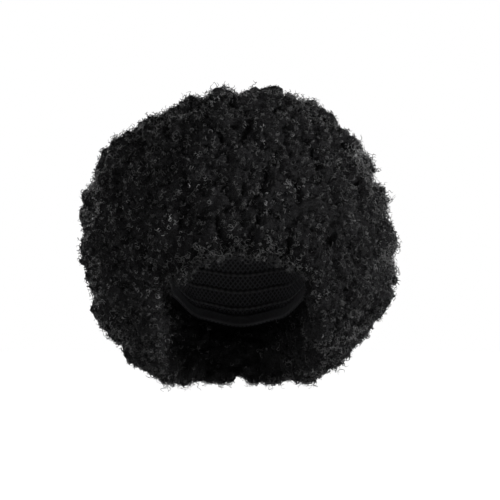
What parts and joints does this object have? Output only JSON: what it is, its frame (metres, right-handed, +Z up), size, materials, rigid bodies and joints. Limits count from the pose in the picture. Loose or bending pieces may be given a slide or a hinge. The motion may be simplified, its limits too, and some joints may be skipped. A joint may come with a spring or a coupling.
{
  "type": "afro wig",
  "caption": "Round wig of dense, tight black curls on a stretch-net cap with an elastic edge, open at the front and below.",
  "frame": {"origin": "the highest point inside the cap, where the wig sits on the crown", "axes": "+Z up, the front opening faces -Y, +X to the left side of the wig; +X is the widest extent"},
  "size_m": [0.336, 0.3171, 0.3178],
  "materials": {
    "hair": "dense tight curls of black synthetic fibre with a soft sheen",
    "net": "matt black stretch net with sewn weft rows",
    "elastic": "matt black ribbed elastic"
  },
  "bodies": {
    "root": {"cap": "net", "elastic_band": "elastic", "crown_weft": "hair", "upper_weft": "hair", "middle_weft": "hair", "fringe_weft": "hair", "nape_weft": "hair"}
  },
  "joints": []
}
